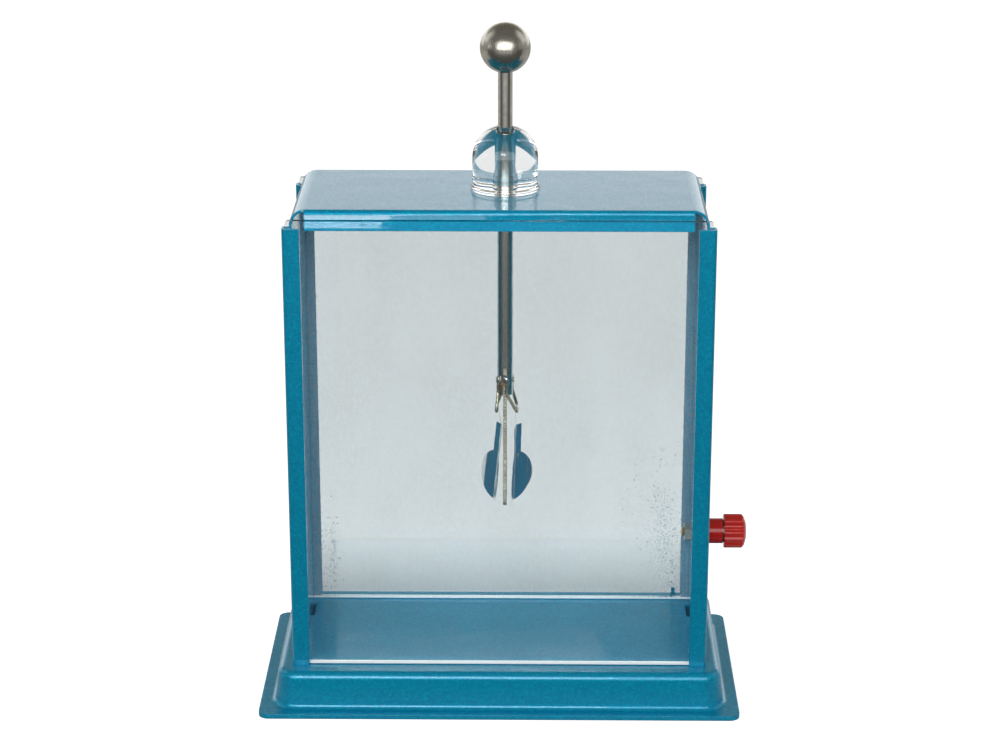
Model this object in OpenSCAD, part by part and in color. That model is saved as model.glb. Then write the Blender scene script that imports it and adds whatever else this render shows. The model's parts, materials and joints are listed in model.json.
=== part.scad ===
// Foil electroscope: a sheet-metal case with two sliding panes, an insulated
// electrode with two foil leaves, and a screw terminal on the right wall.
// X runs left to right, the front faces -Y, and Z = 0 is the table.

/* [Case] */
// Width over the outside of the side walls
case_w = 155.6; // [120:0.1:200]
// Depth over the outside of the front and rear lips
case_d = 62; // [50:0.5:90]
// Height of the top sheet above the base plateau
case_h = 182.3; // [140:0.1:240]
// Thickness of the case sheet
sheet_t = 1; // [0.8:0.1:1.4]
// Outside radius of the two top corners
shoulder_r = 6; // [3:0.5:12]
// Height of the turned-down lips
lip_h = 7.7; // [5:0.1:14]
// Distance that the lips stop short of the walls
lip_inset = 5.6; // [4:0.1:12]
// Outside radius of the bend between top and lip
lip_bend = 1.8; // [1.5:0.1:3]

/* [Channels] */
// Outward step of the wall margins that hold the glass
joggle = 2.6; // [1.8:0.1:4]
// Run of the sloping part of that step
joggle_run = 1; // [0.6:0.1:1.6]
// Width of the strip in front of each pane
strip_w = 6.6; // [5:0.1:12]
// Outside radius of the channel corners
strip_bend = 1.3; // [1.1:0.1:1.6]
// Distance from the top of the case to the channel ends
channel_drop = 6.3; // [6:0.1:20]

/* [Glass] */
// Thickness of a pane
glass_t = 2; // [1.5:0.1:3]
// Height of a pane above the ends of its channels
glass_proud = 2.8; // [0:0.1:10]
// Gap in front of and behind a pane
glass_gap = 0.3; // [0.2:0.05:0.6]
// Gap beside and below a pane
glass_edge_gap = 0.4; // [0.3:0.05:1]
// Corner radius of a pane
glass_corner = 1; // [0.5:0.1:3]

/* [Base] */
// Height of the plateau above the table
base_h = 16.2; // [12:0.1:25]
// Thickness of the base sheet
base_t = 1.2; // [0.8:0.1:1.6]
// Plateau beside each side wall
ledge_side = 8.2; // [6.5:0.1:20]
// Plateau in front of and behind the lips
ledge_front = 10.8; // [6:0.1:25]
// Outward lean of the tray wall
draft = 1.5; // [0.5:0.1:4]
// Reach of the flange past the plateau, left and right
flange_side = 7.15; // [6.5:0.05:15]
// Reach of the flange past the plateau, front and rear
flange_front = 6.8; // [6.5:0.05:15]
// Height of the flange and its turned-down rim
rim_h = 1.9; // [1.7:0.1:4]
// Corner radius of the plateau
plateau_r = 7; // [6:0.5:12]
// Corner radius of the flange
flange_r = 4; // [2:0.5:8]
// Outside radius of the upper bend
plateau_bend = 3; // [2:0.1:4]
// Radius of the hollow bend at the foot of the wall
foot_bend = 2; // [1:0.1:2.5]

/* [Tabs] */
// Length of each folded tab
tab_l = 12; // [6:0.5:16]
// Distance of the tab centres from the middle of the case
tab_y = 20.4; // [12:0.1:22]
// Reach of a tab under the plateau
tab_reach = 4.5; // [3:0.1:5]
// Width of a slot inside the wall
slot_in = 1.2; // [0.5:0.1:3]
// Width of a slot outside the wall
slot_out = 0.5; // [0.4:0.1:1]

/* [Stopper] */
// Distance of the stopper to the right of the middle of the top
stem_x = 1.9; // [-8:0.1:8]
// Distance of the stopper behind the middle of the top
stem_y = 2; // [-6:0.1:6]
// Diameter of the dome
stopper_d = 25; // [20:0.5:32]
// Height of the dome above the top sheet
stopper_h = 24.5; // [20:0.1:34]
// Diameter of the foot ring
foot_d = 26.3; // [25.5:0.1:34]
// Height of the foot ring
foot_h = 1.8; // [1:0.1:4]
// Height above the top sheet at which the rod steps down inside the dome
step_up = 5.9; // [2:0.1:12]
// Diameter of the spigot through the top sheet
spigot_d = 12; // [9:0.5:15]
// Length of the spigot below the dome
spigot_l = 8; // [7:0.1:14]
// Diameter of the washer under the top sheet
washer_d = 20; // [18:0.5:26]
// Thickness of that washer
washer_t = 1; // [0.5:0.1:2]
// Width of the ring nut across its flats
nut_af = 17; // [16:0.5:22]
// Thickness of the ring nut
nut_t = 4; // [2:0.5:5]

/* [Electrode] */
// Diameter of the rod inside the case
rod_d = 6.2; // [5.8:0.1:8]
// Diameter of the rod in and above the stopper
neck_d = 5.5; // [4.5:0.1:5.7]
// Distance from the top sheet to the lower end of the rod
rod_drop = 82.1; // [60:0.1:100]
// Diameter of the ball
ball_d = 19.05; // [14:0.05:26]
// Height of the ball centre above the top sheet
ball_lift = 54.2; // [42:0.1:80]
// Depth of the flat seat turned in the ball
ball_seat = 0.3; // [0.1:0.05:0.6]
// Diameter of the stud in the ball
ball_stud_d = 4; // [3:0.5:4]
// Depth of the fork at the lower end
fork_depth = 11; // [9:0.5:16]

/* [Vane] */
// Thickness of the fixed vane
vane_t = 1.5; // [0.8:0.1:2]
// Width of its stem
vane_w = 5.2; // [4:0.1:5.4]
// Radius of its disc
vane_r = 10; // [6:0.5:14]
// Distance from the rod end to the disc centre
vane_drop = 36.2; // [26:0.1:45]
// Diameter of the cross pin
pin_d = 1.5; // [1:0.1:2]
// Height of the pin above the rod end
pin_up = 5.6; // [5:0.1:8]
// Height of each peened pin head
pin_head_h = 0.5; // [0.3:0.1:0.6]

/* [Stirrups] */
// Diameter of the wire
wire_d = 1.2; // [0.8:0.1:1.3]
// Length of the bar that carries a leaf
bar_l = 9; // [8:0.1:12]
// Distance of the bar below the rod end
bar_drop = 6.3; // [4:0.1:10]
// Distance of the left bar from the rod axis
left_bar_x = 3.3; // [3.2:0.1:6]
// Distance of the right bar from the rod axis
right_bar_x = 4.6; // [3.2:0.1:6]
// Angle round the rod from the side to the near leg
leg_turn = 44; // [38:1:50]
// Length of wire soldered along the rod
solder_l = 6; // [4:0.1:8]
// Diameter of the solder beads
bead_d = 1.9; // [1.4:0.1:2.2]

/* [Leaves] */
// Thickness of the foil
foil_t = 0.25; // [0.2:0.05:0.4]
// Width of the stem of a leaf
stem_w = 7; // [4:0.1:9]
// Radius of the disc
leaf_r = 10; // [6:0.5:14]
// Distance from the top of the stem to the disc centre
disc_drop = 21.4; // [14:0.1:30]
// Width of the tongue that loops round the bar
tongue_w = 2.4; // [1.5:0.1:4]
// Length of the tongue
tongue_l = 6.9; // [3:0.1:8]
// Gap between the wire and the loop
loop_gap = 0.06; // [0.03:0.01:0.1]
// Angle through which the tongue is rolled round the bar
roll_turn = 290; // [200:5:320]
// Radius of the fold down the middle
leaf_fold = 3; // [1:0.1:4]
// Flare of the rear half of the left leaf
left_flare = 38; // [20:1:60]
// Flare of the rear half of the right leaf
right_flare = 54; // [20:1:60]
// Angle at which the left tongue leans in towards the vane
left_lean = 10; // [-8:0.5:16]
// Angle at which the right tongue leans in towards the vane
right_lean = -4; // [-8:0.5:16]
// Angle at which the left leaf hangs outward at rest
left_tilt = 5.8; // [-3:0.1:8]
// Angle at which the right leaf hangs outward at rest
right_tilt = -1.8; // [-3:0.1:8]

/* [Terminal] */
// Height of the terminal above the plateau
terminal_up = 43.2; // [25:0.1:120]
// Diameter of the collar
collar_d = 10; // [8:0.1:12]
// Length of the collar outside the wall
collar_l = 10.2; // [6:0.1:16]
// Diameter of the collar spigot in the wall
collar_spigot_d = 6; // [5.5:0.1:7]
// Diameter of the ribbed head
head_d = 13.4; // [12:0.1:18]
// Length of the straight part of the head
head_l = 7; // [6.8:0.1:14]
// Number of ribs round the head
ribs = 14; // [8:1:20]
// Depth of the hollows between the ribs
rib_depth = 0.5; // [0.2:0.05:0.8]
// Diameter of the flat end of the head
head_end_d = 7.6; // [5:0.1:10]
// Length of the cone between the ribs and that end
cone_l = 1.6; // [0.8:0.1:3]
// Diameter of the stud
stud_d = 4; // [3:0.5:4]
// Diameter of the brass insert
insert_d = 7; // [6:0.1:8]
// Length of the brass insert
insert_l = 6; // [4:0.1:6.5]
// Diameter of both washers on the stud
stud_washer_d = 9; // [8:0.1:9.8]
// Thickness of the washer inside the wall
stud_washer_t = 0.7; // [0.4:0.1:1.2]
// Thickness of the loose washer under the head
clamp_washer_t = 0.5; // [0.4:0.1:1.2]
// Width of the stud nut across its flats
stud_nut_af = 7; // [6.5:0.1:8]
// Thickness of the stud nut
stud_nut_t = 3.2; // [2:0.1:5]

/* [Fits] */
// Radial gap round fixed pins and studs
fit_gap = 0.05; // [0.02:0.01:0.1]
// Radial gap in sheet holes
hole_gap = 0.1; // [0.05:0.05:0.3]

/* [Hidden] */
$fn = 64;
bend_steps = 8;

top_z = base_h + case_h;
wall_x = case_w / 2 - sheet_t / 2;
lip_y = case_d / 2 - sheet_t / 2;
channel_x = wall_x + joggle;
channel_top = top_z - channel_drop;
pane_y = case_d / 2 + glass_gap;
strip_y = pane_y + glass_t + glass_gap + sheet_t / 2;
strip_edge_x = channel_x + sheet_t / 2 - strip_w;
pane_w = 2 * (channel_x - sheet_t / 2 - glass_edge_gap);
pane_z = base_h + glass_edge_gap;
pane_h = channel_top + glass_proud - pane_z;

plateau_x = case_w / 2 + ledge_side;
plateau_y = case_d / 2 + ledge_front;
flange_x = plateau_x + flange_side;
flange_y = plateau_y + flange_front;
foot_r = plateau_r - base_t / 2 + draft;
skirt_r = foot_r + foot_bend + base_t;

rod_z = top_z - rod_drop;
ball_z = top_z + ball_lift;
step_z = top_z + step_up;
ball_seat_z = ball_z - sqrt(pow(ball_d / 2, 2) - pow(neck_d / 2 + fit_gap, 2)) + ball_seat;
pin_z = rod_z + pin_up;
bar_z = rod_z - bar_drop;
vane_z = rod_z - vane_drop;
loop_r = wire_d / 2 + loop_gap;
lap = 1;

terminal_z = base_h + terminal_up;
wall_out = case_w / 2;
wall_in = wall_out - sheet_t;
collar_x = wall_out + collar_l;
head_x = collar_x + clamp_washer_t;
stud_in_x = wall_in - stud_washer_t - stud_nut_t - 1;
stud_out_x = head_x + insert_l + 0.4;

teal = [0.0, 0.48, 0.6];
nickel = [0.72, 0.71, 0.69];
foil = [0.85, 0.86, 0.86];
brass = [0.78, 0.62, 0.3];
red = [0.68, 0.1, 0.1];
clear = [0.85, 0.92, 0.94, 0.35];

function unit(v) = v / norm(v);
function left_of(v) = [-v[1], v[0]];
function reversed(list) = [for (i = [len(list) - 1:-1:0]) list[i]];

// Arc of radius r that rounds the corner b between a and c
function corner_arc(a, b, c, r) =
    let (u = unit(a - b), v = unit(c - b),
        half = acos(u * v) / 2,
        middle = b + unit(u + v) * r / sin(half),
        first = b + u * r / tan(half) - middle,
        start = atan2(first[1], first[0]),
        turn = sign(left_of(-u) * v) * (180 - 2 * half))
    [for (i = [0:bend_steps])
        middle + r * [cos(start + turn * i / bend_steps), sin(start + turn * i / bend_steps)]];

// Path with each inner corner rounded at radius r[i]
function rounded_path(path, r) = concat([path[0]],
    [for (i = [1:len(path) - 2])
        each corner_arc(path[i - 1], path[i], path[i + 1], r[i - 1])],
    [path[len(path) - 1]]);

// Path moved sideways by d, with mitred corners
function side_path(path, d) = [for (i = [0:len(path) - 1])
    let (last = len(path) - 1,
        before = left_of(unit(path[max(i, 1)] - path[max(i, 1) - 1])),
        after = left_of(unit(path[min(i, last - 1) + 1] - path[min(i, last - 1)])),
        mitre = unit(before + after))
    path[i] + mitre * d / (mitre * before)];

// Cross-section of sheet of thickness t along a path
module bent_sheet_plain(path, t) {
    polygon(concat(side_path(path, t / 2), reversed(side_path(path, -t / 2))));
}

// The same with each corner of the path bent at radius r[i]
module bent_sheet(path, r, t) {
    bent_sheet_plain(rounded_path(path, r), t);
}

module rounded_rect(x, y, r) {
    for (sx = [-1, 1], sy = [-1, 1]) translate([sx * (x - r), sy * (y - r)]) circle(r);
    square([2 * x, 2 * (y - r)], center = true);
    square([2 * (x - r), 2 * y], center = true);
}

// Lays an XY outline into the YZ plane, with its X along Y and its Y along Z
module upright_yz(t) {
    rotate([90, 0, 90]) linear_extrude(t, center = true) children();
}

// Lays an XY outline into the XZ plane
module upright_xz(t) {
    rotate([90, 0, 0]) linear_extrude(t, center = true) children();
}

// Cylinder along +X that starts at x
module bar_along_x(d, x, l) {
    translate([x, 0, 0]) rotate([0, 90, 0]) cylinder(d = d, h = l);
}

module hex_prism(af, h) {
    cylinder(d = af / cos(30), h = h, $fn = 6);
}

// Round wire through a list of points, a little fuller at its bends
module wire(points, d) {
    for (i = [0:len(points) - 2]) {
        step = points[i + 1] - points[i];
        translate(points[i])
            rotate([0, acos(step[2] / norm(step)), atan2(step[1], step[0])])
            cylinder(d = d, h = norm(step), $fn = 24);
    }
    for (p = points) translate(p) sphere(d = 1.04 * d, $fn = 24);
}

module tray_profile() {
    bent_sheet([[0, base_h - base_t / 2], [plateau_r - base_t / 2, base_h - base_t / 2],
        [foot_r, rim_h - base_t / 2], [skirt_r, rim_h - base_t / 2]],
        [plateau_bend - base_t / 2, foot_bend + base_t / 2], base_t);
}

module tray_sides() {
    in_x = plateau_x - plateau_r;
    in_y = plateau_y - plateau_r;
    for (a = [0, 180]) {
        rotate(a) translate([in_x, 0, 0]) upright_xz(2 * in_y) tray_profile();
        rotate(a + 90) translate([in_y, 0, 0]) upright_xz(2 * in_x) tray_profile();
        rotate(a) translate([in_x, in_y, 0]) rotate_extrude(angle = 90) tray_profile();
        rotate(a) translate([-in_x, in_y, 0]) rotate(90)
            rotate_extrude(angle = 90) tray_profile();
    }
    translate([0, 0, base_h - base_t]) linear_extrude(base_t)
        square([2 * in_x, 2 * in_y], center = true);
}

module flange() {
    inner = skirt_r - lap - plateau_r;
    translate([0, 0, rim_h - base_t]) linear_extrude(base_t) difference() {
        rounded_rect(flange_x, flange_y, flange_r);
        rounded_rect(plateau_x + inner, plateau_y + inner, skirt_r - lap);
    }
    linear_extrude(rim_h) difference() {
        rounded_rect(flange_x, flange_y, flange_r);
        rounded_rect(flange_x - base_t, flange_y - base_t, flange_r - base_t);
    }
}

module base() {
    color(teal) difference() {
        union() {
            tray_sides();
            flange();
        }
        for (sx = [-1, 1], sy = [-1, 1])
            translate([sx * (wall_x + (slot_out - slot_in) / 2), sy * tab_y, base_h])
            cube([sheet_t + slot_in + slot_out, tab_l + 2 * hole_gap, 4 * base_t], center = true);
    }
}

// Half of the wall and channel section, from the middle of the right wall forward
function channel_path() = [[strip_edge_x, strip_y], [channel_x, strip_y], [channel_x, lip_y],
    [wall_x, lip_y - joggle_run], [wall_x, joggle_run - lip_y], [channel_x, -lip_y],
    [channel_x, -strip_y], [strip_edge_x, -strip_y]];

module wall_with_channels() {
    strip_r = strip_bend - sheet_t / 2;
    translate([0, 0, base_h]) linear_extrude(channel_top - base_h)
        bent_sheet(channel_path(), [strip_r, 0.6, 0.6, 0.6, 0.6, strip_r], sheet_t);
}

module tab() {
    under_z = base_h - base_t - hole_gap - sheet_t / 2;
    upright_xz(tab_l)
        bent_sheet([[wall_x, base_h + sheet_t], [wall_x, under_z],
            [wall_x + sheet_t / 2 + tab_reach, under_z]], [0.8], sheet_t);
}

module top_sheet() {
    corner_y = case_d / 2 - sheet_t;
    upright_xz(2 * corner_y)
        bent_sheet([[-wall_x, channel_top], [-wall_x, top_z - sheet_t / 2],
            [wall_x, top_z - sheet_t / 2], [wall_x, channel_top]],
            [shoulder_r - sheet_t / 2, shoulder_r - sheet_t / 2], sheet_t);
    upright_yz(case_w - 2 * lip_inset)
        bent_sheet([[-lip_y, top_z - lip_h], [-lip_y, top_z - sheet_t / 2],
            [lip_y, top_z - sheet_t / 2], [lip_y, top_z - lip_h]],
            [lip_bend - sheet_t / 2, lip_bend - sheet_t / 2], sheet_t);
}

module case_shell() {
    color(teal) difference() {
        union() {
            top_sheet();
            for (side = [0, 1]) mirror([side, 0, 0]) {
                wall_with_channels();
                for (sy = [-1, 1]) translate([0, sy * tab_y, 0]) tab();
            }
        }
        translate([stem_x, stem_y, top_z - 2 * sheet_t])
            cylinder(r = spigot_d / 2 + hole_gap, h = 4 * sheet_t);
        translate([0, 0, terminal_z])
            bar_along_x(collar_spigot_d + 2 * hole_gap, wall_in - sheet_t, 4 * sheet_t);
    }
}

module pane() {
    translate([0, pane_y + glass_t / 2, pane_z + pane_h / 2])
        upright_xz(glass_t) rounded_rect(pane_w / 2, pane_h / 2, glass_corner);
}

module front_glass() {
    color(clear) mirror([0, 1, 0]) pane();
}

module rear_glass() {
    color(clear) pane();
}

module insulator() {
    color(clear) translate([stem_x, stem_y, top_z]) difference() {
        union() {
            cylinder(d = foot_d, h = foot_h);
            cylinder(d = stopper_d, h = stopper_h - stopper_d / 2);
            translate([0, 0, stopper_h - stopper_d / 2]) sphere(d = stopper_d);
            translate([0, 0, -spigot_l]) cylinder(d = spigot_d, h = spigot_l + foot_h);
        }
        translate([0, 0, -spigot_l - 1])
            cylinder(r = neck_d / 2 + fit_gap, h = stopper_h + spigot_l + 2);
        translate([0, 0, -spigot_l - 1])
            cylinder(r = rod_d / 2 + fit_gap, h = spigot_l + 1 + step_up);
    }
}

module insulator_washer() {
    color(nickel) translate([stem_x, stem_y, top_z - sheet_t - washer_t]) difference() {
        cylinder(d = washer_d, h = washer_t);
        translate([0, 0, -1]) cylinder(r = spigot_d / 2 + hole_gap, h = washer_t + 2);
    }
}

module insulator_nut() {
    color(nickel) translate([stem_x, stem_y, top_z - sheet_t - washer_t - nut_t])
        difference() {
            hex_prism(nut_af, nut_t);
            translate([0, 0, -1]) cylinder(r = spigot_d / 2 + fit_gap, h = nut_t + 2);
        }
}

module electrode_rod() {
    color(nickel) translate([stem_x, stem_y, 0]) difference() {
        rotate_extrude() polygon([[0, rod_z], [rod_d / 2, rod_z], [rod_d / 2, step_z],
            [neck_d / 2, step_z], [neck_d / 2, ball_seat_z], [ball_stud_d / 2, ball_seat_z],
            [ball_stud_d / 2, ball_z], [0, ball_z]]);
        translate([0, 0, rod_z])
            cube([vane_t + 2 * fit_gap, 2 * rod_d, 2 * fork_depth], center = true);
        translate([0, 0, pin_z]) bar_along_x(pin_d + 2 * fit_gap, -rod_d, 2 * rod_d);
    }
}

module ball() {
    color(nickel) translate([stem_x, stem_y, 0]) difference() {
        translate([0, 0, ball_z]) sphere(d = ball_d);
        translate([0, 0, ball_z - ball_d])
            cylinder(r = neck_d / 2 + fit_gap, h = ball_seat_z - ball_z + ball_d);
        translate([0, 0, ball_seat_z - 1])
            cylinder(r = ball_stud_d / 2 + fit_gap, h = ball_z - ball_seat_z + 1.5);
    }
}

module fixed_vane() {
    top = fork_depth - 2 * fit_gap;
    color(nickel) translate([stem_x, stem_y, rod_z]) difference() {
        upright_yz(vane_t) {
            translate([0, -vane_drop]) circle(vane_r);
            translate([-vane_w / 2, -vane_drop]) square([vane_w, vane_drop + top]);
        }
        translate([0, 0, pin_up]) bar_along_x(pin_d + 2 * fit_gap, -vane_t, 2 * vane_t);
    }
}

module vane_pin() {
    color(nickel) translate([stem_x, stem_y, pin_z]) {
        bar_along_x(pin_d, -rod_d / 2, rod_d);
        for (s = [0, 180]) rotate(s) bar_along_x(pin_d + pin_head_h, rod_d / 2, pin_head_h);
    }
}

// Stirrup on the left of the rod: one leg on its near side, the other behind it
module stirrup(bar_x) {
    leg_r = rod_d / 2 + wire_d / 2 + fit_gap;
    leg_top = rod_z + 1 + solder_l;
    near = [-leg_r * cos(leg_turn), -leg_r * sin(leg_turn)];
    far = [-wire_d / 2, leg_r];
    wire([[near[0], near[1], leg_top], [near[0], near[1], rod_z + 1],
        [-bar_x, -bar_l / 2, bar_z], [-bar_x, bar_l / 2, bar_z],
        [far[0], far[1], rod_z + 1], [far[0], far[1], leg_top]], wire_d);
    for (p = [near, far]) translate([p[0], p[1], leg_top - bead_d / 2])
        sphere(d = bead_d, $fn = 24);
}

module left_hanger() {
    color(nickel) translate([stem_x, stem_y, 0]) stirrup(left_bar_x);
}

module right_hanger() {
    color(nickel) translate([stem_x, stem_y, 0]) rotate(180) stirrup(right_bar_x);
}

// Depth along Y of a point u along the foil from its fold line, positive to the rear
function foil_y(u, flare) = let (arc_l = leaf_fold * flare * PI / 180)
    u < 0 ? u : u < arc_l ? leaf_fold * sin(u / leaf_fold * 180 / PI)
    : leaf_fold * sin(flare) + (u - arc_l) * cos(flare);

module leaf_outline(flare) {
    polygon([for (a = [0:5:355])
        [foil_y(leaf_r * cos(a), flare), leaf_r * sin(a) - disc_drop]]);
    stem_y_far = foil_y(stem_w / 2, flare);
    translate([-stem_w / 2, -disc_drop]) square([stem_w / 2 + stem_y_far, disc_drop]);
}

// Creased leaf below the origin, its flared half towards +X
module leaf_body(flare) {
    reach = leaf_r + 1;
    bend_y = leaf_fold * tan(flare / 2);
    intersection() {
        translate([0, 0, -disc_drop - reach]) linear_extrude(disc_drop + reach)
            bent_sheet([[0, -reach], [0, bend_y],
                [reach * sin(flare), bend_y + reach * cos(flare)]], [leaf_fold], foil_t);
        upright_yz(4 * leaf_r) leaf_outline(flare);
    }
}

// Tongue rolled into a knuckle round a bar along Y through the origin
module knuckle(roll_r) {
    roll = [for (i = [0:24]) let (a = 180 - roll_turn * i / 24) roll_r * [cos(a), sin(a)]];
    upright_xz(tongue_w)
        bent_sheet_plain(concat([[-roll_r, -tongue_l - foil_t]], roll), foil_t);
}

// Leaf that hangs from that bar on a leaning tongue, its flared half towards +X
module leaf(flare, lean, tilt) {
    roll_r = loop_r + foil_t / 2;
    foot_x = -roll_r * cos(lean) - tongue_l * sin(lean);
    foot_z = roll_r * sin(lean) - tongue_l * cos(lean);
    rotate([0, lean, 0]) knuckle(roll_r);
    translate([foot_x, 0, foot_z]) rotate([0, -tilt, 0]) leaf_body(flare);
}

module left_leaf() {
    color(foil) translate([stem_x - left_bar_x, stem_y, bar_z])
        mirror([1, 0, 0]) leaf(left_flare, left_lean, left_tilt);
}

module right_leaf() {
    color(foil) translate([stem_x + right_bar_x, stem_y, bar_z])
        leaf(right_flare, right_lean, right_tilt);
}

module terminal_collar() {
    color(red) translate([0, 0, terminal_z]) difference() {
        union() {
            bar_along_x(collar_d, wall_out, collar_l);
            bar_along_x(collar_spigot_d, wall_in, sheet_t + 1);
        }
        bar_along_x(stud_d + 2 * fit_gap, wall_in - 1, collar_l + sheet_t + 2);
    }
}

module terminal_stud() {
    color(brass) translate([0, 0, terminal_z])
        bar_along_x(stud_d, stud_in_x, stud_out_x - stud_in_x);
}

module stud_washer(x, t) {
    translate([0, 0, terminal_z]) difference() {
        bar_along_x(stud_washer_d, x, t);
        bar_along_x(stud_d + 2 * fit_gap, x - 1, t + 2);
    }
}

module terminal_washer() {
    color(nickel) stud_washer(wall_in - stud_washer_t, stud_washer_t);
}

module clamp_washer() {
    color(nickel) stud_washer(collar_x, clamp_washer_t);
}

module terminal_nut() {
    x = wall_in - stud_washer_t - stud_nut_t;
    color(nickel) translate([x, 0, terminal_z]) difference() {
        rotate([0, 90, 0]) hex_prism(stud_nut_af, stud_nut_t);
        bar_along_x(stud_d + 2 * fit_gap, -1, stud_nut_t + 2);
    }
}

// Ring of rounded ribs with hollows between them
module ribbed_outline() {
    polygon([for (i = [0:8 * ribs - 1]) let (a = 45 * i / ribs)
        (head_d / 2 - rib_depth * pow(sin(a * ribs / 2), 2)) * [cos(a), sin(a)]]);
}

// Revolved envelope of the head, from its open face to its flat end
module head_envelope() {
    rotate_extrude() polygon([[0, 0], [head_d / 2, 0], [head_d / 2, head_l],
        [head_d / 2 - cone_l / 2, head_l + cone_l / 2], [head_end_d / 2, head_l + cone_l],
        [0, head_l + cone_l]]);
}

module terminal_head() {
    color(red) translate([head_x, 0, terminal_z]) difference() {
        rotate([0, 90, 0]) intersection() {
            linear_extrude(head_l + cone_l) ribbed_outline();
            head_envelope();
        }
        bar_along_x(insert_d + 2 * fit_gap, -1, insert_l + 1 + fit_gap);
        bar_along_x(stud_d + 1, 0, insert_l + 1);
    }
}

module head_insert() {
    color(brass) translate([0, 0, terminal_z]) difference() {
        bar_along_x(insert_d, head_x, insert_l);
        bar_along_x(stud_d + 2 * fit_gap, head_x - 1, insert_l + 2);
    }
}

base();
case_shell();
front_glass();
rear_glass();
insulator();
insulator_washer();
insulator_nut();
electrode_rod();
ball();
fixed_vane();
vane_pin();
left_hanger();
right_hanger();
left_leaf();
right_leaf();
terminal_collar();
terminal_stud();
terminal_washer();
terminal_nut();
clamp_washer();
terminal_head();
head_insert();
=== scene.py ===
# Foil electroscope: finishes, fine pieces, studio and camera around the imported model.
# Metres throughout. X runs left to right, the front faces -Y, and the table is at Z = 0.
import json
import math
import random

import bmesh
import bpy
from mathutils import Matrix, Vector, noise


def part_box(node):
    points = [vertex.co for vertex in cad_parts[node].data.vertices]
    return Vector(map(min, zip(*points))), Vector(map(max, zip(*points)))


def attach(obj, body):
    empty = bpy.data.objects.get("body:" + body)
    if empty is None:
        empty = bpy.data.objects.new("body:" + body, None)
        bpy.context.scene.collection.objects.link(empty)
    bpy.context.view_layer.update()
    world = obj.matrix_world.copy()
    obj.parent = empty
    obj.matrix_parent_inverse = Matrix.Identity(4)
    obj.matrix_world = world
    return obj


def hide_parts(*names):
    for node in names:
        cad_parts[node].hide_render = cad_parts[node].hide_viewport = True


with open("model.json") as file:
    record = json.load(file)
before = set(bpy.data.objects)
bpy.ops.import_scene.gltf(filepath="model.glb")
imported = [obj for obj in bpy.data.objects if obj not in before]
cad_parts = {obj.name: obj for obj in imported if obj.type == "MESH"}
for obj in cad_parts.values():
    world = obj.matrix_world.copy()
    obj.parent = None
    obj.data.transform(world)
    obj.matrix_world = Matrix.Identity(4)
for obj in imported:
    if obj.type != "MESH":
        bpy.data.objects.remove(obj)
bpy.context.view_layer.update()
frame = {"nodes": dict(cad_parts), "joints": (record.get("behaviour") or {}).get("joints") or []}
nodes = frame["nodes"]


# Node tree tools

def setInputs(tree, node, inputs):
    # each input, by name or number, gets a link or a fixed value
    for name, value in inputs.items():
        if isinstance(value, bpy.types.NodeSocket):
            tree.links.new(value, node.inputs[name])
        else:
            node.inputs[name].default_value = value


def put(tree, kind, inputs=None, **choices):
    made = tree.nodes.new("ShaderNode" + kind)
    for name, value in choices.items():
        setattr(made, name, value)
    setInputs(tree, made, inputs or {})
    return made


def startMaterial(name):
    material = bpy.data.materials.new(name)
    material.use_nodes = True
    tree = material.node_tree
    return material, tree, tree.nodes["Principled BSDF"]


def place(tree, stretch=(1, 1, 1)):
    # the piece's own coordinates, so that a pattern stays on a piece that moves
    coords = put(tree, "TexCoord")
    return put(tree, "Mapping", {"Vector": coords.outputs["Object"], "Scale": stretch}).outputs[0]


def spotOf(tree, kind="Object"):
    # a point's X, Y and Z as outputs of their own
    coords = put(tree, "TexCoord")
    return put(tree, "SeparateXYZ", {"Vector": coords.outputs[kind]}).outputs


def noiseAt(tree, vector, size, detail=2.0, rough=0.5):
    made = put(tree, "TexNoise", {"Vector": vector, "Scale": 1 / size, "Detail": detail,
                                  "Roughness": rough})
    return made.outputs["Fac"]


def ramp(tree, source, low, high, fromValue=0.0, toValue=1.0, smooth=False):
    made = put(tree, "MapRange", {"Value": source, "From Min": low, "From Max": high,
                                  "To Min": fromValue, "To Max": toValue},
               interpolation_type="SMOOTHSTEP" if smooth else "LINEAR")
    return made.outputs[0]


def mixColours(tree, factor, first, second):
    first, second = (value if isinstance(value, bpy.types.NodeSocket) else (*value, 1)
                     for value in (first, second))
    return put(tree, "Mix", {0: factor, 6: first, 7: second}, data_type="RGBA").outputs[2]


def maths(tree, operation, first, second=0.0):
    return put(tree, "Math", {0: first, 1: second}, operation=operation).outputs[0]


def bumpFrom(tree, height, depth, normal=None):
    made = put(tree, "Bump", {"Height": height, "Distance": depth, "Strength": 1.0})
    if normal is not None:
        tree.links.new(normal, made.inputs["Normal"])
    return made.outputs[0]


def roundedEdges(tree, radius):
    return put(tree, "Bevel", {"Radius": radius}, samples=4).outputs[0]


def letLampsThrough(tree, shader, tint):
    # a shadow ray goes straight through, so that clear pieces don't darken what is behind them
    path = put(tree, "LightPath")
    clear = put(tree, "BsdfTransparent", {"Color": (*tint, 1)})
    mix = put(tree, "MixShader", {"Fac": path.outputs["Is Shadow Ray"], 1: shader.outputs[0],
                                  2: clear.outputs[0]})
    tree.links.new(mix.outputs[0], tree.nodes["Material Output"].inputs["Surface"])


# Finishes

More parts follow.
